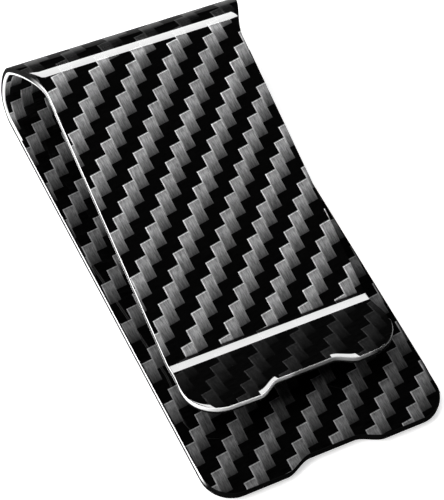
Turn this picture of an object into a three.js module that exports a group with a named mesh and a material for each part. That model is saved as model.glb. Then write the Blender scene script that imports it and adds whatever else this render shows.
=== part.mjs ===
// Folded carbon-fibre money clip, in millimetres, +Z up.
// The laminate is one flat blank of stacked plies, cut to its outline and pressed over a former:
// a wide base, a loop-shaped fold at the rear, a narrower tongue that slopes down to the front,
// a kink that grips what is held, and a lip that turns up again.
// Origin: under the middle of the clip, on the face it lies on. +Y points to the fold.
import * as THREE from 'three';

// Outline of the blank
const clipWidth = 40;
const shoulderStep = 3.1;         // how much narrower the tongue is on each side
const lipSpread = 0.5;            // how much each side of the lip widens beyond the tongue
const shoulderLength = 9.6;       // length over which the fold narrows to the tongue
const shoulderOverrun = 1.4;      // how far the shoulder runs on past the fold
const baseCornerRadius = 4.8;
const lipCornerRadius = 5.2;
const lipCrown = 0.45;            // the lip's front edge bows forward by this much

// Finger notches in the two free edges, a little right of the middle
const baseNotch = { centre: 0.3, width: 16.6, floor: 7.4, depth: 1.55 };
const lipNotch = { centre: 0.9, width: 16.8, floor: 9, depth: 1.85 };

// Side profile, on the middle surface of the laminate
const baseLength = 74.2;
const lowerBend = { radius: 3.64, angle: 83.6 };
const rearBend = { radius: 11.5, angle: 31 };
const topBendRadius = 7.5;
const tongueLength = 46.7;
const gripGap = 0.5;              // from the base up to the lowest line of the kink
const kinkRadius = 3.9;
const lipFlare = 16;
const lipLength = 9.55;

// Plies, from the outer face to the inner face
const coatThickness = 0.1;
const twillThickness = 0.25;
const coreThickness = 0.25;

// Facets
const bendStep = 7;               // degrees of turn in one facet of a bend, at most
const cornerColumns = 6;
const notchColumns = 4;
const lipRows = 3;
const shoulderRows = 3;

const coatMaterial = { color: 0x0b0b0c, roughness: 0.12, metalness: 0 };
const twillMaterial = { color: 0x4a4a4c, roughness: 0.35, metalness: 0.2 };
const coreMaterial = { color: 0x8c8c8e, roughness: 0.5, metalness: 0 };

const plies = [
  { name: 'outer_coat', thickness: coatThickness, finish: coatMaterial },
  { name: 'outer_twill', thickness: twillThickness, finish: twillMaterial },
  { name: 'outer_core', thickness: coreThickness, finish: coreMaterial },
  { name: 'inner_core', thickness: coreThickness, finish: coreMaterial },
  { name: 'inner_twill', thickness: twillThickness, finish: twillMaterial },
  { name: 'inner_coat', thickness: coatThickness, finish: coatMaterial },
];
const laminate = plies.reduce((sum, ply) => sum + ply.thickness, 0);

const { degToRad, radToDeg, lerp, smoothstep } = THREE.MathUtils;

// The profile is a chain of straights and bends. Each stretch keeps where it starts, its heading
// there and its curvature, so a place on the sheet is found from its distance along the blank.
function makeProfile(stretches) {
  const chain = [];
  let here = { along: 0, y: 0, z: laminate / 2, heading: 0 };
  for (const { name, length, turn = 0 } of stretches) {
    chain.push({ name, length, curvature: degToRad(turn) / length, ...here });
    here = placeOn(chain.at(-1), here.along + length);
  }
  return chain;
}

function placeOn(stretch, along) {
  const run = along - stretch.along;
  const { curvature } = stretch;
  const heading = stretch.heading + curvature * run;
  if (curvature === 0) {
    const y = stretch.y + run * Math.cos(heading);
    const z = stretch.z + run * Math.sin(heading);
    return { along, y, z, heading };
  }
  const y = stretch.y + (Math.sin(heading) - Math.sin(stretch.heading)) / curvature;
  const z = stretch.z - (Math.cos(heading) - Math.cos(stretch.heading)) / curvature;
  return { along, y, z, heading };
}

function bend(name, radius, turn) {
  return { name, turn, length: radius * Math.abs(degToRad(turn)) };
}

const looseStretches = [
  { name: 'base', length: baseLength },
  bend('fold_lower', lowerBend.radius, lowerBend.angle),
  bend('fold_rear', rearBend.radius, rearBend.angle),
];

// The slope at which a tongue of its length, between the top bend and the kink, ends its gap above
// the base
function slopeOfTongue() {
  const rearBendStretch = makeProfile(looseStretches).at(-1);
  const top = placeOn(rearBendStretch, rearBendStretch.along + rearBendStretch.length);
  const topBendCentre = top.z + topBendRadius * Math.cos(top.heading);
  const kinkHeight = laminate + gripGap + laminate / 2;
  const bothRadii = topBendRadius + kinkRadius;
  const reach = Math.hypot(bothRadii, tongueLength);
  const share = (kinkHeight + kinkRadius - topBendCentre) / reach;
  return radToDeg(Math.acos(share) - Math.atan2(tongueLength, bothRadii));
}

const tongueSlope = slopeOfTongue();
const topBendAngle = 180 + tongueSlope - lowerBend.angle - rearBend.angle;
const profile = makeProfile([
  ...looseStretches,
  bend('fold_top', topBendRadius, topBendAngle),
  { name: 'tongue', length: tongueLength },
  bend('kink', kinkRadius, -(tongueSlope + lipFlare)),
  { name: 'lip', length: lipLength },
]);
const stretchNamed = (name) => profile.find((stretch) => stretch.name === name);
const endOf = (stretch) => stretch.along + stretch.length;

const tongueStart = stretchNamed('tongue').along;
const kinkStart = stretchNamed('kink').along;
const lipStart = stretchNamed('lip').along;
const blankEnd = endOf(profile.at(-1));

// The rear-most line of the fold, where its outer face points straight back
function clipLength() {
  const rear = stretchNamed('fold_rear');
  const furthest = rear.along + (Math.PI / 2 - rear.heading) / rear.curvature;
  return placeOn(rear, furthest).y + laminate / 2;
}

// Half the width of the blank at a distance along it, corners aside
function halfWidth(along) {
  const shoulderEnd = tongueStart + shoulderOverrun;
  const narrowing = smoothstep(along, shoulderEnd - shoulderLength, shoulderEnd);
  const spreading = smoothstep(along, lipStart, lipStart + lipLength / 2);
  return clipWidth / 2 - shoulderStep * narrowing + lipSpread * spreading;
}

// How far a free edge stands back from the blank's end: a round corner and a notch with S-shaped sides
function edgeSetback(x, half, cornerRadius, notch) {
  const intoCorner = Math.max(0, Math.abs(x) - (half - cornerRadius));
  const corner = cornerRadius - Math.sqrt(Math.max(0, cornerRadius ** 2 - intoCorner ** 2));
  const intoNotch = 1 - smoothstep(Math.abs(x - notch.centre), notch.floor / 2, notch.width / 2);
  return corner + notch.depth * intoNotch;
}

const lipHalf = halfWidth(blankEnd);
const baseEdge = (across) => {
  const half = clipWidth / 2;
  return edgeSetback(across * half, half, baseCornerRadius, baseNotch);
};
const lipEdge = (across) => {
  const setback = edgeSetback(across * lipHalf, lipHalf, lipCornerRadius, lipNotch);
  return blankEnd - setback - lipCrown * across ** 2;
};

// Columns across the blank, as shares of its half width: close together round the corners and in
// the sides of the notch
function columnsFor(half, cornerRadius, notch) {
  const columns = [];
  for (const side of [-1, 1]) {
    for (let i = 0; i <= cornerColumns; i += 1) {
      const turn = (Math.PI / 2) * (i / cornerColumns);
      columns.push((side * (half - cornerRadius + cornerRadius * Math.sin(turn))) / half);
    }
    for (let i = 0; i <= notchColumns; i += 1) {
      const out = lerp(notch.floor, notch.width, i / notchColumns) / 2;
      columns.push((notch.centre + side * out) / half);
    }
  }
  return columns.sort((a, b) => a - b);
}

// Rows along the blank: each is a function from a place across it to a distance along it
const fixedRow = (along) => () => along;
function bendRows(stretch) {
  const turn = Math.abs(stretch.curvature) * stretch.length;
  const count = Math.ceil(turn / degToRad(bendStep));
  return Array.from({ length: count + 1 }, (_, i) => fixedRow(stretch.along + stretch.length * (i / count)));
}
function shoulderTailRows() {
  const step = shoulderOverrun / shoulderRows;
  return Array.from({ length: shoulderRows }, (_, i) => fixedRow(tongueStart + step * (i + 1)));
}
function lipRowsToEdge() {
  const rowAt = (share) => (across) => lerp(lipStart, lipEdge(across), share);
  return Array.from({ length: lipRows }, (_, i) => rowAt((i + 1) / lipRows));
}

const straightAcross = [-1, 1];
const zones = [
  {
    name: 'base',
    columns: columnsFor(clipWidth / 2, baseCornerRadius, baseNotch),
    rows: [baseEdge, fixedRow(baseLength)],
  },
  { name: 'fold_lower', columns: straightAcross, rows: bendRows(stretchNamed('fold_lower')) },
  { name: 'fold_rear', columns: straightAcross, rows: bendRows(stretchNamed('fold_rear')) },
  { name: 'fold_top', columns: straightAcross, rows: bendRows(stretchNamed('fold_top')) },
  {
    name: 'tongue',
    columns: straightAcross,
    rows: [fixedRow(tongueStart), ...shoulderTailRows(), fixedRow(kinkStart)],
  },
  {
    name: 'lip',
    columns: columnsFor(lipHalf, lipCornerRadius, lipNotch),
    rows: [...bendRows(stretchNamed('kink')), ...lipRowsToEdge()],
  },
];

// A point of the sheet: across it from -1 to 1, along it, and lift off its middle towards the outside
function pointOnSheet(across, along, lift) {
  const stretch = profile.findLast((candidate) => candidate.along <= along + 1e-9);
  const place = placeOn(stretch, along);
  const y = place.y + lift * Math.sin(place.heading);
  const z = place.z - lift * Math.cos(place.heading);
  return new THREE.Vector3(across * halfWidth(along), y, z);
}

// A closed solid between two lifts, on the grid of a zone's rows and columns
function plySolid({ columns, rows }, outerLift, innerLift) {
  const positions = [];
  const faces = [];
  const layerSize = rows.length * columns.length;
  for (const lift of [outerLift, innerLift]) {
    for (const row of rows) {
      for (const across of columns) {
        positions.push(...pointOnSheet(across, row(across), lift).toArray());
      }
    }
  }
  const corner = (layer, row, column) => layer * layerSize + row * columns.length + column;
  const quad = (a, b, c, d) => faces.push(a, b, c, a, c, d);
  const lastRow = rows.length - 1;
  const lastColumn = columns.length - 1;
  for (let row = 0; row < lastRow; row += 1) {
    for (let column = 0; column < lastColumn; column += 1) {
      quad(corner(0, row, column), corner(0, row + 1, column),
        corner(0, row + 1, column + 1), corner(0, row, column + 1));
      quad(corner(1, row, column), corner(1, row, column + 1),
        corner(1, row + 1, column + 1), corner(1, row + 1, column));
    }
    quad(corner(0, row, 0), corner(1, row, 0), corner(1, row + 1, 0), corner(0, row + 1, 0));
    quad(corner(0, row, lastColumn), corner(0, row + 1, lastColumn),
      corner(1, row + 1, lastColumn), corner(1, row, lastColumn));
  }
  for (let column = 0; column < lastColumn; column += 1) {
    quad(corner(0, 0, column), corner(0, 0, column + 1),
      corner(1, 0, column + 1), corner(1, 0, column));
    quad(corner(0, lastRow, column), corner(1, lastRow, column),
      corner(1, lastRow, column + 1), corner(0, lastRow, column + 1));
  }
  const geometry = new THREE.BufferGeometry();
  geometry.setAttribute('position', new THREE.Float32BufferAttribute(positions, 3));
  geometry.setIndex(faces);
  geometry.computeVertexNormals();
  return geometry;
}

const clip = new THREE.Group();
clip.position.y = -clipLength() / 2;
for (const zone of zones) {
  const layers = new THREE.Group();
  let lift = laminate / 2;
  for (const ply of plies) {
    const geometry = plySolid(zone, lift, lift - ply.thickness);
    const mesh = new THREE.Mesh(geometry, new THREE.MeshStandardMaterial(ply.finish));
    mesh.name = `${zone.name}_${ply.name}`;
    layers.add(mesh);
    lift -= ply.thickness;
  }
  clip.add(layers);
}

export default clip;
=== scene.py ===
import math
import bpy
import numpy as np
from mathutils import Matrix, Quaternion, Vector


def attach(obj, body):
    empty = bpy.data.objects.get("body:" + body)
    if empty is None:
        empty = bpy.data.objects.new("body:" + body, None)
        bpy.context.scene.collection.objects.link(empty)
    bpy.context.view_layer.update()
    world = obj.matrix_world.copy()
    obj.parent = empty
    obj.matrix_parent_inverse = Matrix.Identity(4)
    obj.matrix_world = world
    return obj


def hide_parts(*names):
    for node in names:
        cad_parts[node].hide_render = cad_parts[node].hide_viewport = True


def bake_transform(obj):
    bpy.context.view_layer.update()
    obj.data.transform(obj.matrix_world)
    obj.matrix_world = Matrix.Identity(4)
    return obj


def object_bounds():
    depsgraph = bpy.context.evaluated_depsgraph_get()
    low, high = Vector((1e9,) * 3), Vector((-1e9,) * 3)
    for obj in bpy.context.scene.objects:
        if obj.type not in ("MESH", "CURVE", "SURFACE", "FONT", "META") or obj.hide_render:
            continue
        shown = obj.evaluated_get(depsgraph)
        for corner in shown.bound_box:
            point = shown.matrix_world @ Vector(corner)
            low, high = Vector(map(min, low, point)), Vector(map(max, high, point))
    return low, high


# Folded money clip of polished carbon twill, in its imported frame. The laminate is modelled as flat
# blanks in millimetres (x across, y along the blank, z the lift towards the outer face), which are
# then pressed over the former into the frame, in metres.
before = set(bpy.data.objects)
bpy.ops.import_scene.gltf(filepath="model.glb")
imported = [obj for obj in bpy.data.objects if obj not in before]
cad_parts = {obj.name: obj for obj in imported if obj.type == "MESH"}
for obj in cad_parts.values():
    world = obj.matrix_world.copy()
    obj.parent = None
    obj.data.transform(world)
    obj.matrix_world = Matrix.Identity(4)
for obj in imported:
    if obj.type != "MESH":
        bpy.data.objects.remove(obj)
cadLow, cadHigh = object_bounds()

mm = 0.001


# Camera

camera = {
    "lens": 139.28,
    "azimuth": -35.993,
    "elevation": 55.772,
    "roll": 11.309,
    "distance": 0.2975,
    "aim": (-0.00097, -0.00245, 0.00502),
}


def placeCamera():
    bpy.ops.object.camera_add()
    viewer = bpy.context.object
    turn, rise = math.radians(camera["azimuth"]), math.radians(camera["elevation"])
    back = Vector((math.sin(turn) * math.cos(rise), -math.cos(turn) * math.cos(rise), math.sin(rise)))
    upright = (-back).to_track_quat("-Z", "Y")
    viewer.rotation_mode = "QUATERNION"
    viewer.rotation_quaternion = upright @ Quaternion((0, 0, 1), math.radians(camera["roll"]))
    viewer.location = Vector(camera["aim"]) + back * camera["distance"]
    viewer.data.lens = camera["lens"]
    viewer.data.sensor_width = 36
    viewer.data.clip_start, viewer.data.clip_end = 0.01, 20
    bpy.context.scene.camera = viewer


placeCamera()
bpy.context.scene.view_settings.view_transform = "Standard"
print("camera placed")


# Material builder: a wire wraps a socket, and arithmetic on wires adds Math nodes

def grey(value):
    return (value, value, value, 1)


class Wire:
    def __init__(self, maker, socket):
        self.maker = maker
        self.socket = socket

    def math(self, operation, *others):
        return self.maker.add("ShaderNodeMath", {"operation": operation}, [self, *others])

    def __add__(self, other):
        return self.math("ADD", other)

    def __sub__(self, other):
        return self.math("SUBTRACT", other)

    def __mul__(self, other):
        return self.math("MULTIPLY", other)

    def __truediv__(self, other):
        return self.math("DIVIDE", other)

    def __rsub__(self, other):
        return self.maker.add("ShaderNodeMath", {"operation": "SUBTRACT"}, [other, self])

    __radd__ = __add__
    __rmul__ = __mul__


class Finish:
    def __init__(self, name):
        self.material = bpy.data.materials.new(name)
        self.material.use_nodes = True
        self.tree = self.material.node_tree
        self.shader = self.tree.nodes["Principled BSDF"]

    def add(self, kind, settings=None, values=(), output=0):
        node = self.tree.nodes.new(kind)
        for name, value in (settings or {}).items():
            if name == "stops":
                for place, _ in value[1:-1]:
                    node.color_ramp.elements.new(place)
                for stop, (_, shade) in zip(node.color_ramp.elements, value):
                    stop.color = grey(shade)
            else:
                setattr(node, name, value)
        pairs = values.items() if isinstance(values, dict) else enumerate(values)
        for key, value in pairs:
            self.join(value, node.inputs[key])
        return Wire(self, node.outputs[output])

    def join(self, value, socket):
        if isinstance(value, Wire):
            self.tree.links.new(value.socket, socket)
        else:
            socket.default_value = value

    def set(self, **values):
        for name, value in values.items():
            self.join(value, self.shader.inputs[name.replace("_", " ")])

    def step(self, value, start, width):      # 0 before start, 1 after start + width
        return self.add("ShaderNodeMapRange", {"interpolation_type": "SMOOTHSTEP"},
                        {"Value": value, "From Min": start, "From Max": start + width})

    def sheetPlace(self):                     # x across and distance along the blank, in mm
        place = self.add("ShaderNodeUVMap", {"uv_map": "sheet"})
        across = self.add("ShaderNodeSeparateXYZ", None, [place])
        return across, Wire(self, across.socket.node.outputs[1])

    def vector(self, x, y, z=0.0):
        return self.add("ShaderNodeCombineXYZ", None, [x, y, z])

    def noise(self, vector, scale, detail=2.0, rough=0.5):
        settings = {"noise_dimensions": "3D"}
        return self.add("ShaderNodeTexNoise", settings,
                        {"Vector": vector, "Scale": scale, "Detail": detail, "Roughness": rough})


# Twill of the outer and the inner face, in mm on the flat blank. origin is a place at the left and
# the rear of the face, and the way in which the distance along grows there. acrossTow and alongTow
# are the steps from one warp tow and one weft tow to the next, and start is where the count begins.

outerWeave = {
    "origin": (-20.0, 96.55, 1),
    "acrossTow": (1.9454, -0.3303),
    "alongTow": (0.133, 1.8775),
    "start": (0.4638, 1.2523),
    "warp": 0.44,
    "weft": 0.0022,
    "foldWeftPaintedLight": 0.0022,
    "metal": 0.3,
    "coatIor": 1.6,
    "lipFrom": 142.95,
    "lipPaintedShade": 0.022,
    "thinCoat": (80.0, 91.0),
    "fold": (80.0, 93.6),
    "foldPaintedLight": 0.05,
}
# painted shade: the inner face's floats are painted darker than the outer face's
innerWeave = {
    "origin": (-20.0, 76.0, -1),
    "acrossTow": (1.8842, -0.2244),
    "alongTow": (-0.0331, 1.8811),
    "start": (0.5279, 3.0494),
    "warp": 0.125,
    "weft": 0.0022,
    "foldWeftPaintedLight": 0.012,
    "metal": 0.0,
    "coatIor": 1.2,
    "lipFrom": 144.2,
    "lipPaintedShade": 0.5,
    "thinCoat": (73.0, 92.5),
    "fold": (73.0, 92.5),
    "foldPaintedLight": 2.8,
}


# One float, where a warp tow lies over two weft tows. Scales are for the noise: across the tow, along
# it, and from tow to tow. The crown is painted highlight and shade down the float; an edge is a painted highlight
# line, given as its start, its width and how much brighter it is.
floatPattern = {
    "repeat": 4.0,
    "over": 2.0,
    "soft": 0.06,
    "paintedCrown": [(0.0, 0.72), (0.25, 1.0), (0.58, 0.48), (1.0, 0.12)],
    "fineScale": (9.0, 1.3, 3.7),
    "broadScale": (2.1, 1.1, 1.9),
    "fibre": {"fine": 2.9, "broad": 0.4, "less": 0.68, "least": 0.15},
    "left": (0.05, 0.08, 1.5),
    "right": (0.9, 0.06, 0.3),
    "rear": (0.04, 0.03, 1.4),
    "uneven": 0.2,                # difference in brightness between floats
    "ribScale": (0.5, 9.0),
    "ribs": {"gain": 3.0, "less": 1.0, "least": 0.08},
}
lacquer = {
    "fadeIn": 3.0,                # mm over which the fold's painted shade and light and its thin coat start
    "fadeOut": 1.2,
    "lipFade": 0.5,
    "thinning": 0.9,              # share of the coat that the fold loses
    "coatRoughness": 0.015,
    "weftRoughness": 0.52,
    "warpSmoother": (0.16, 0.08),  # even part, and part that follows the fibres
    "bump": 0.04,
    "bumpHeight": 0.0001,
}


def twill(name, weave):
    finish = Finish(name)
    x, along = finish.sheetPlace()
    left, rear, way = weave["origin"]
    (ux, uy), (vx, vy) = weave["acrossTow"], weave["alongTow"]
    startA, startB = weave["start"]
    size = ux * vy - vx * uy
    # the place on the blank, counted in warp tows from the left and in weft tows from the rear
    acrossTows = x * (vy / size) - along * (way * vx / size) - (left * vy - way * rear * vx) / size - startA
    alongTows = along * (way * ux / size) - x * (uy / size) + (left * uy - way * rear * ux) / size - startB
    column = acrossTows.math("FLOOR")
    inTow = acrossTows - column
    climbing = alongTows + column
    look, over, soft = floatPattern, floatPattern["over"], floatPattern["soft"]
    phase = climbing.math("FLOORED_MODULO", look["repeat"])
    onTop = finish.step(phase, 0.0, soft) * (1 - finish.step(phase, over, soft))
    down = (phase / (over + soft)).math("MINIMUM", 1.0)

    # painted highlight and shade: each float is painted brightest near its rear end and darker towards its front
    # end
    paintedCrown = finish.add("ShaderNodeValToRGB", {"stops": look["paintedCrown"]}, [down])
    paintedCrown = finish.add("ShaderNodeSeparateColor", None, [paintedCrown])
    fineX, fineY, fineTow = look["fineScale"]
    fine = finish.noise(finish.vector(acrossTows * fineX, alongTows * fineY, column * fineTow), 1.0, 4.0, 0.8)
    broadX, broadY, broadTow = look["broadScale"]
    broad = finish.noise(finish.vector(acrossTows * broadX, alongTows * broadY, column * broadTow), 1.0, 1.0)
    mix = look["fibre"]
    fibre = (fine * mix["fine"] + broad * mix["broad"] - mix["less"]).math("MAXIMUM", mix["least"])
    # painted highlight: bright lines painted along each float's left and rear edges, and a weaker one along its
    # right
    (leftAt, leftOver, leftGain), (rightAt, rightOver, rightGain) = look["left"], look["right"]
    rearAt, rearOver, rearGain = look["rear"]
    leftEdgeHighlight = 1 - finish.step(inTow, leftAt, leftOver)
    rightEdgeHighlight = finish.step(inTow, rightAt, rightOver)
    rearEdgeHighlight = 1 - finish.step(down, rearAt, rearOver)
    paintedLight = 1 + leftEdgeHighlight * leftGain + rightEdgeHighlight * rightGain + rearEdgeHighlight * rearGain

    # painted shade and light: the floats are painted darker past the kink, and over the fold painted darker on
    # the outer face and lighter on the inner face
    atLip = finish.step(along, weave["lipFrom"], lacquer["lipFade"])
    paintedLight = paintedLight * (1 - atLip * (1 - weave["lipPaintedShade"]))
    thinned, overFold = (
        finish.step(along, low, lacquer["fadeIn"]) * (1 - finish.step(along, high, lacquer["fadeOut"]))
        for low, high in (weave["thinCoat"], weave["fold"]))
    paintedLight = paintedLight * (1 - overFold * (1 - weave["foldPaintedLight"]))
    chance = finish.add("ShaderNodeTexWhiteNoise", {"noise_dimensions": "2D"},
                        {"Vector": finish.vector(column, (climbing / look["repeat"]).math("FLOOR"))})
    # the twill pattern is real; the grey of the warp floats against the near-black weft is painted sheen standing
    # in for the fibres' reflection
    warp = paintedCrown * fibre * paintedLight * (1 - look["uneven"] / 2 + chance * look["uneven"]) * weave["warp"]
    ribX, ribY = look["ribScale"]
    ribs = finish.noise(finish.vector(acrossTows * ribX, alongTows * ribY, 1.0), 2.0, 2.0, 0.6)
    # painted light: on the inner face the weft over the fold is painted lighter
    dark = weave["weft"] + overFold * (weave["foldWeftPaintedLight"] - weave["weft"])
    weft = (ribs * look["ribs"]["gain"] - look["ribs"]["less"]).math("MAXIMUM", look["ribs"]["least"]) * dark
    shade = weft + (warp - weft) * onTop

    finish.set(Base_Color=finish.add("ShaderNodeCombineColor", None, [shade, shade, shade * 1.01]))
    even, followed = lacquer["warpSmoother"]
    finish.set(Roughness=lacquer["weftRoughness"] - onTop * (even + fine * followed))
    finish.set(Metallic=onTop * weave["metal"])
    hump = onTop * (down * math.pi).math("SINE") * (inTow * math.pi).math("SINE") + fine * 0.12
    finish.set(Normal=finish.add("ShaderNodeBump", None, {
        "Strength": lacquer["bump"], "Distance": lacquer["bumpHeight"], "Height": hump}))
    finish.set(Coat_Weight=1 - thinned * lacquer["thinning"])
    finish.shader.inputs["Coat Roughness"].default_value = lacquer["coatRoughness"]
    finish.shader.inputs["Coat IOR"].default_value = weave["coatIor"]
    finish.shader.inputs["Specular IOR Level"].default_value = 0.0
    return finish.material


# Cut edge: glossy where the plies end and painted pale there as highlight, and painted near black as shade along
# the base's front edge. Round the base and the fold its outer half is painted dark as shade and its inner half
# pale as highlight; on the tongue each layer has its own painted tone.

cutEdge = {
    "foldPaintedTones": (0.85, 0.008),   # painted highlight on the inner half and painted shade on the outer half
    "half": (-0.2, 0.1),          # lift from which the outer half, painted dark as shade, starts
    # painted highlight on the two skins' rims, with a grey core between
    "tonguePaintedTones": {"outer_skin": 0.85, "core": 0.07, "inner_skin": 0.85},
    "change": (93.0, 4.0),        # mm along from which the tones change
    # painted shade: the base's front cut edge is painted near black, and its coat is left off there
    "frontPaintedShade": 0.004,
    "frontPaintedShadeTo": 3.0,              # mm along from the base's front edge
    "fade": 2.2,
    "lipFrom": (147.5, 1.5),
    "lipPaintedHighlight": 0.85,
    "lipUnder": (-0.12, 0.24),    # lift from which the lip's edge goes from painted shade to painted highlight
    "lipMiddle": (-1.8, 1.2),     # x from which the lip edge's painted highlight dims
    "lipRight": (10.4, 2.4),      # x from which it is painted dark as shade
    "lipLoss": (0.62, 0.36),      # what it loses at each of those two
    "grainScale": (0.4, 0.4, 26.0),
    "grain": (0.72, 0.56),        # least of the tone, and what the grain adds
    "roughness": (0.22, 0.2),
    "coatRoughness": 0.04,
    "bump": 0.1,
    "bumpHeight": 0.00005,
}


def edgeFinish(layerName):
    finish = Finish(layerName + "_edge_polish")
    x, along = finish.sheetPlace()
    lift = finish.add("ShaderNodeAttribute", {"attribute_name": "lift"}, output=2)
    grainX, grainY, grainLift = cutEdge["grainScale"]
    grain = finish.noise(finish.vector(x * grainX, along * grainY, lift * grainLift), 1.0, 3.0, 0.6)
    pastFrontShade = finish.step(along, cutEdge["frontPaintedShadeTo"], cutEdge["fade"])
    atLip = finish.step(along, *cutEdge["lipFrom"])
    middleLoss, rightLoss = cutEdge["lipLoss"]
    dimmedLipHighlight = finish.step(x, *cutEdge["lipMiddle"]) * middleLoss + finish.step(x, *cutEdge["lipRight"]) * rightLoss
    lipPaintedTone = finish.step(lift, *cutEdge["lipUnder"]) * (1 - dimmedLipHighlight) * cutEdge["lipPaintedHighlight"]
    inner, outer = cutEdge["foldPaintedTones"]
    onTongue = finish.step(along, *cutEdge["change"])
    shadedOuterHalf = finish.step(lift, *cutEdge["half"]) * (1 - onTongue)
    tone = inner + onTongue * (cutEdge["tonguePaintedTones"][layerName] - inner)
    tone = tone + shadedOuterHalf * (outer - tone)
    tone = tone + atLip * (lipPaintedTone - tone)
    least, added = cutEdge["grain"]
    shade = cutEdge["frontPaintedShade"] + pastFrontShade * (least + grain * added) * tone
    finish.set(Base_Color=finish.add("ShaderNodeCombineColor", None, [shade, shade, shade]))
    smoothest, rougher = cutEdge["roughness"]
    finish.set(Roughness=smoothest + grain * rougher)
    finish.set(Normal=finish.add("ShaderNodeBump", None, {
        "Strength": cutEdge["bump"], "Distance": cutEdge["bumpHeight"], "Height": grain}))
    finish.set(Coat_Weight=pastFrontShade * (1 - shadedOuterHalf))
    finish.shader.inputs["Specular IOR Level"].default_value = 0.0
    finish.shader.inputs["Coat Roughness"].default_value = cutEdge["coatRoughness"]
    return finish.material


outerTwill = twill("outer_twill_lacquer", outerWeave)
innerTwill = twill("inner_twill_lacquer", innerWeave)
rims = {layerName: edgeFinish(layerName) for layerName in cutEdge["tonguePaintedTones"]}
print("finishes made")


# Outline of the flat blank, mm

blank = {
    "width": 40.0,
    "shoulderStep": 3.1,
    "shoulder": (87.98, 97.58),
    "lipSpread": 0.5,
    "baseCorner": 4.8,
    "lipCorner": 5.2,
    "lipCrown": 0.45,
    "baseNotch": (0.3, 16.6, 7.4, 1.55),   # centre, width, floor, depth
    "lipNotch": (0.9, 16.8, 9.0, 1.85),
    "lipStart": 144.9506,
    "end": 154.5006,
}

# Former: stretches of the middle surface as (length, turn in degrees). The kink, as (radius, turn),
# turns sharply out of the tongue and eases over the line that grips.
former = {
    "thickness": 1.2,
    "straightBase": 74.2,
    "bends": [(5.3111, 83.6), (7.0337, 31.0), (5.9104, 55.4), (1.8326, 10.0), (2.2637, 14.411)],
    "tongue": 46.7,
    "kink": [(1.3, 18.9), (11.0, 11.511)],
    "kinkBack": 0.4,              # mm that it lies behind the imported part's kink
    "packedKinkRadius": 3.9,
    "lipHeading": 164.0,
}


def smooth(value, low, high):
    t = np.clip((value - low) / (high - low), 0, 1)
    return t * t * (3 - 2 * t)


def halfWidth(along):
    low, high = blank["shoulder"]
    spread = smooth(along, blank["lipStart"], (blank["lipStart"] + blank["end"]) / 2)
    return blank["width"] / 2 - blank["shoulderStep"] * smooth(along, low, high) + blank["lipSpread"] * spread


def setback(x, half, corner, notch):
    centre, width, floor, depth = notch
    into = np.maximum(0, np.abs(x) - (half - corner))
    rounding = corner - np.sqrt(np.maximum(0, corner ** 2 - into ** 2))
    return rounding + depth * (1 - smooth(np.abs(x - centre), floor / 2, width / 2))


def baseEdge(across):
    half = blank["width"] / 2
    return setback(across * half, half, blank["baseCorner"], blank["baseNotch"])


def lipEdge(across):
    half = halfWidth(np.array(blank["end"]))
    back = setback(across * half, half, blank["lipCorner"], blank["lipNotch"])
    return blank["end"] - back - blank["lipCrown"] * across ** 2


# The former's line, as stations of (distance along, y, z, heading) that any point of a blank falls between

def layFormer():
    stretches = [(former["straightBase"], 0.0)] + former["bends"] + [(former["tongue"], 0.0)]
    stations = [(0.0, cadLow.y / mm, former["thickness"] / 2, 0.0)]

    def run(length, turn):
        along, y, z, heading = stations[-1]
        count = max(2, int(abs(turn) / 0.25) + 1)
        for step in range(1, count + 1):
            here = heading + math.radians(turn) * step / count
            if turn:
                radius = length / math.radians(turn)
                dy = radius * (math.sin(here) - math.sin(heading))
                dz = radius * (math.cos(heading) - math.cos(here))
            else:
                dy, dz = (length * step / count * f(heading) for f in (math.cos, math.sin))
            stations.append((along + length * step / count, y + dy, z + dz, here))

    for length, turn in stretches:
        run(length, turn)
    # where the kink has to start for its end to lie on the line of the lip
    along, y, z, heading = stations[-1]
    total = math.radians(sum(turn for _, turn in former["kink"]))
    reachY = reachZ = turned = 0.0
    for radius, turn in former["kink"]:
        step = math.radians(turn)
        reachY += radius * (math.sin(turned + step) - math.sin(turned))
        reachZ += radius * (math.cos(turned) - math.cos(turned + step))
        turned += step
    plain = former["packedKinkRadius"] * math.tan(total / 2)
    early = reachY - reachZ / math.tan(total) - plain + former["kinkBack"]
    stations.pop()
    stations.pop()
    run(former["tongue"] - early, 0.0)
    for radius, turn in former["kink"]:
        run(math.radians(turn) * radius, -turn)
    kinkEnd = stations[-1][0]
    run(blank["end"] - blank["lipStart"] + 2.0, 0.0)
    return np.array(stations).T, kinkEnd


line, kinkEnd = layFormer()
kinkStart = kinkEnd - sum(radius * math.radians(turn) for radius, turn in former["kink"])
lipShift = kinkEnd - blank["lipStart"] + 0.9 * former["kinkBack"]
print("former laid: kink from %.2f to %.2f mm, lip moved on by %.3f mm" % (kinkStart, kinkEnd, lipShift))


def press(points):
    x, along, lift = points.T
    y, z, heading = (np.interp(along, line[0], row) for row in line[1:])
    return np.column_stack([x, y + lift * np.sin(heading), z - lift * np.cos(heading)]) * mm


# Rows and columns of a blank

def columnsFor(half, corner, notch):
    centre, width, floor, _ = notch
    turns = np.sin(np.linspace(0, math.pi / 2, 15))
    places = [centre]
    for side in (-1, 1):
        places += list(side * (half - corner + corner * turns))
        places += list(centre + side * np.linspace(floor, width, 13) / 2)
        places += [side * (half - corner) * 0.92, centre + side * floor / 4]
    return np.array(sorted(set(np.round(np.array(places) / half, 6))))


plainColumns = np.array([-1.0, -0.9, -0.5, 0.0, 0.5, 0.9, 1.0])


def rowsBetween(low, high, step):
    count = max(1, int(round((high - low) / step)))
    return [np.full(1, value) for value in np.linspace(low, high, count + 1)]


seams = [70.0, 76.86, 82.62, 90.96, 100.0]            # one in each length that moves
rowStep = {                                           # mm from row to row
    "flat": 10.0,
    "afterEdge": 8.0,
    "lowBends": 0.06,
    "topBend": 0.07,
    "shoulder": 0.08,
    "kink": 0.045,
}

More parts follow.
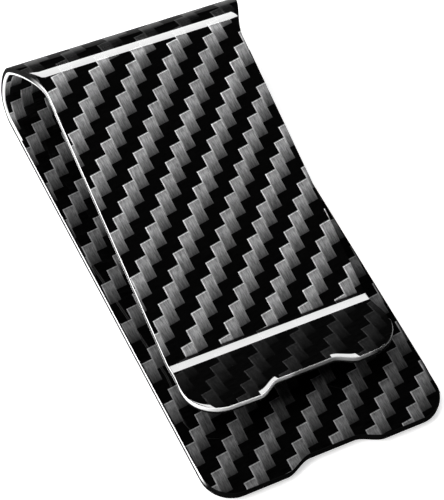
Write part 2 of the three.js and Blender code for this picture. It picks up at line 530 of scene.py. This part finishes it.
lengths = {
    "base": {
        "columns": columnsFor(blank["width"] / 2, blank["baseCorner"], blank["baseNotch"]),
        "rows": [baseEdge] + rowsBetween(rowStep["afterEdge"], seams[0], rowStep["flat"]),
        "ride": ["base"], "plies": ["base"],
    },
    "fold_low": {
        "columns": plainColumns, "rows": rowsBetween(seams[0], seams[1], rowStep["lowBends"]),
        "ride": ["base", "fold_lower"], "plies": ["fold_lower"],
    },
    "fold_back": {
        "columns": plainColumns, "rows": rowsBetween(seams[1], seams[2], rowStep["lowBends"]),
        "ride": ["fold_lower", "fold_rear"], "plies": ["fold_rear"],
    },
    "fold_crest": {
        "columns": plainColumns, "rows": rowsBetween(seams[2], seams[3], rowStep["topBend"]),
        "ride": ["fold_rear", "fold_top"], "plies": ["fold_top"],
    },
    "shoulder": {
        "columns": plainColumns, "rows": rowsBetween(seams[3], seams[4], rowStep["shoulder"]),
        "ride": ["fold_top", "tongue"], "plies": ["fold_top"],
    },
    "tongue": {
        "columns": columnsFor(float(halfWidth(blank["end"])), blank["lipCorner"], blank["lipNotch"]),
        "rows": rowsBetween(seams[4], kinkStart, rowStep["flat"])
        + rowsBetween(kinkStart, kinkEnd, rowStep["kink"])[1:]
        + [lambda across, share=share: (1 - share) * kinkEnd + share * (lipEdge(across) + lipShift)
           for share in np.linspace(0, 1, 9)[1:]],
        "ride": ["tongue"], "plies": ["tongue", "lip"],
    },
}

layers = {                                            # lift of the two faces, mm, and the rim's rounding
    "outer_skin": {
        "top": 0.6, "bottom": 0.25, "round": 0.13, "rim": "top", "plies": ["outer_coat", "outer_twill"],
    },
    "core": {
        "top": 0.25, "bottom": -0.25, "round": 0.0, "rim": "", "plies": ["outer_core", "inner_core"],
    },
    "inner_skin": {
        "top": -0.25, "bottom": -0.6, "round": 0.28, "rim": "bottom", "plies": ["inner_twill", "inner_coat"],
    },
}


def layBlank(name, length, layer):
    columns, rows = length["columns"], length["rows"]
    bpy.ops.object.select_all(action="DESELECT")
    bpy.ops.mesh.primitive_grid_add(x_subdivisions=len(columns) - 1, y_subdivisions=len(rows) - 1, size=40)
    sheet = bpy.context.object
    sheet.name = sheet.data.name = name
    places = []
    for row in rows:
        along = row(columns) if callable(row) else np.broadcast_to(row, columns.shape)
        level = np.full(len(columns), layer["top"])
        places.append(np.column_stack([columns * halfWidth(along), along, level]))
    sheet.data.vertices.foreach_set("co", np.concatenate(places).ravel())
    sheet.data.update()
    bpy.ops.object.mode_set(mode="EDIT")
    bpy.ops.mesh.select_all(action="SELECT")
    bpy.ops.mesh.extrude_region_move(TRANSFORM_OT_translate={"value": (0, 0, layer["bottom"] - layer["top"])})
    bpy.ops.mesh.select_all(action="SELECT")
    bpy.ops.mesh.normals_make_consistent(inside=False)
    bpy.ops.mesh.select_all(action="DESELECT")
    bpy.ops.object.mode_set(mode="OBJECT")
    return sheet


# Bevels the rim of a skin's own face, but not its ends at the seams

def roundRim(sheet, length, layer):
    bpy.ops.object.mode_set(mode="EDIT")
    bpy.ops.mesh.select_mode(type="EDGE")
    bpy.ops.object.mode_set(mode="OBJECT")
    mesh = sheet.data
    level = layer[layer["rim"]]
    seamAt = [float(row[0]) for row in (length["rows"][0], length["rows"][-1]) if not callable(row)]
    beside = {}
    for face in mesh.polygons:
        for key in face.edge_keys:
            beside.setdefault(key, []).append(abs(face.normal.z))
    for edge in mesh.edges:
        ends = [mesh.vertices[i].co for i in edge.vertices]
        sides = [rise for rise in beside[tuple(sorted(edge.vertices))] if rise < 0.5]
        atSeam = any(all(abs(p.y - at) < 1e-4 for p in ends) for at in seamAt)
        edge.select = len(sides) == 1 and not atSeam and all(abs(p.z - level) < 1e-4 for p in ends)
    bpy.ops.object.mode_set(mode="EDIT")
    bpy.ops.mesh.bevel(offset=layer["round"], segments=4, profile=0.5, affect="EDGES")
    bpy.ops.object.mode_set(mode="OBJECT")


# Gives a flat blank its finishes and its coordinates, then presses it and smooths its shading

levelRise = 0.995                                     # a face whose normal rises more is level


def finishSheet(sheet, faceFinish, rimFinish):
    mesh = sheet.data
    mesh.materials.clear()
    for material in (faceFinish, rimFinish):
        mesh.materials.append(material)
    for face in mesh.polygons:
        face.material_index = 0 if abs(face.normal.z) > levelRise else 1
    flat = np.zeros(len(mesh.vertices) * 3)
    mesh.vertices.foreach_get("co", flat)
    flat = flat.reshape(-1, 3)
    while mesh.uv_layers:
        mesh.uv_layers.remove(mesh.uv_layers[0])
    corners = np.zeros(len(mesh.loops), int)
    mesh.loops.foreach_get("vertex_index", corners)
    mesh.uv_layers.new(name="sheet").data.foreach_set("uv", flat[corners, :2].ravel())
    mesh.attributes.new("lift", "FLOAT", "POINT").data.foreach_set("value", flat[:, 2].copy())
    mesh.vertices.foreach_set("co", press(flat).ravel())
    mesh.update()
    bpy.ops.object.mode_set(mode="EDIT")
    bpy.ops.mesh.select_all(action="SELECT")
    bpy.ops.mesh.normals_make_consistent(inside=False)
    bpy.ops.object.mode_set(mode="OBJECT")
    bpy.ops.object.shade_smooth_by_angle(angle=math.radians(30))
    bpy.ops.object.modifier_add(type="WEIGHTED_NORMAL")
    sheet.modifiers[-1].keep_sharp = True
    sheet.modifiers[-1].weight = 100
    bpy.ops.object.modifier_apply(modifier=sheet.modifiers[-1].name)
    return flat


# Finds where along a sheet its whole thickness lies between its two cut ends, then bakes the sheet's
# transform into its mesh; it is attached to no body

def bendWith(sheet, low, high):
    half = former["thickness"] / 2
    ends = [press(np.array([[0.0, at, 0.0]]))[0] for at in (low, high)]
    way = (ends[1] - ends[0]) / np.linalg.norm(ends[1] - ends[0])
    faces = [press(np.array([[0.0, at, lift] for lift in (-half, half)])) for at in (low, high)]
    start = max((p - ends[0]) @ way for p in faces[0])
    end = min((p - ends[0]) @ way for p in faces[1])
    ends[0] + way * start
    ends[0] + way * end
    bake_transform(sheet)


for lengthName, length in lengths.items():
    for layerName, layer in layers.items():
        sheet = layBlank(f"{lengthName}_{layerName}", length, layer)
        if layer["round"]:
            roundRim(sheet, length, layer)
        faceFinish = {"outer_skin": outerTwill, "inner_skin": innerTwill, "core": rims["core"]}[layerName]
        flat = finishSheet(sheet, faceFinish, rims[layerName])
        if len(length["ride"]) == 1:
            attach(sheet, length["ride"][0])
        else:
            bendWith(sheet, flat[:, 1].min(), flat[:, 1].max())
        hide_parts(*[f"{zone}_{ply}" for zone in length["plies"] for ply in layer["plies"]])
    print("pressed", lengthName)


# Floor and lights

studio = {
    "floorSize": 6.0,
    "floorGlow": 0.6,
    "paper": 0.84,
    "mottle": 0.04,
    "mottleScale": 30.0,
    "world": 0.015,
}

softboxes = {                                         # place, size across and deep, radiance
    "band": {"at": (0.77, 1.6, 1.5), "size": (0.66, 0.8), "radiance": 13.5, "flat": True},
    "overhead": {"at": (-0.45, 0.65, 1.0), "size": (0.8, 0.8), "radiance": 4.2, "flat": False},
    "left": {"at": (-0.9, 0.25, 0.42), "size": (0.8, 0.6), "radiance": 9.0, "flat": False},
    "right": {"at": (0.8, 0.45, 0.42), "size": (0.5, 0.4), "radiance": 4.0, "flat": False},
}


def layFloor():
    bpy.ops.object.select_all(action="DESELECT")
    bpy.ops.mesh.primitive_plane_add(size=studio["floorSize"], location=(0, 0, cadLow.z))
    floor = bpy.context.object
    floor.name = "studio_floor"
    paper = Finish("studio_paper")
    place = paper.add("ShaderNodeTexCoord", output=3)
    mottle = paper.noise(place, studio["mottleScale"], 3.0)
    shade = studio["paper"] + mottle * studio["mottle"]
    paper.set(Base_Color=paper.add("ShaderNodeCombineColor", None, [shade, shade, shade]), Roughness=0.9)
    paper.shader.inputs["Emission Color"].default_value = grey(1.0)
    paper.shader.inputs["Emission Strength"].default_value = studio["floorGlow"]
    floor.data.materials.append(paper.material)


def hangLights():
    world = bpy.data.worlds.new("studio_air")
    bpy.context.scene.world = world
    world.use_nodes = True
    world.node_tree.nodes["Background"].inputs["Color"].default_value = grey(1.0)
    world.node_tree.nodes["Background"].inputs["Strength"].default_value = studio["world"]
    for name, box in softboxes.items():
        bpy.ops.object.light_add(type="AREA", location=box["at"])
        light = bpy.context.object
        light.name = "softbox_" + name
        light.data.shape = "RECTANGLE"
        light.data.size, light.data.size_y = box["size"]
        light.data.energy = box["radiance"] * math.pi * box["size"][0] * box["size"][1]
        if not box["flat"]:
            light.rotation_euler = (-light.location).to_track_quat("-Z", "Y").to_euler()
        light.visible_camera = False


layFloor()
hangLights()
print("studio ready")
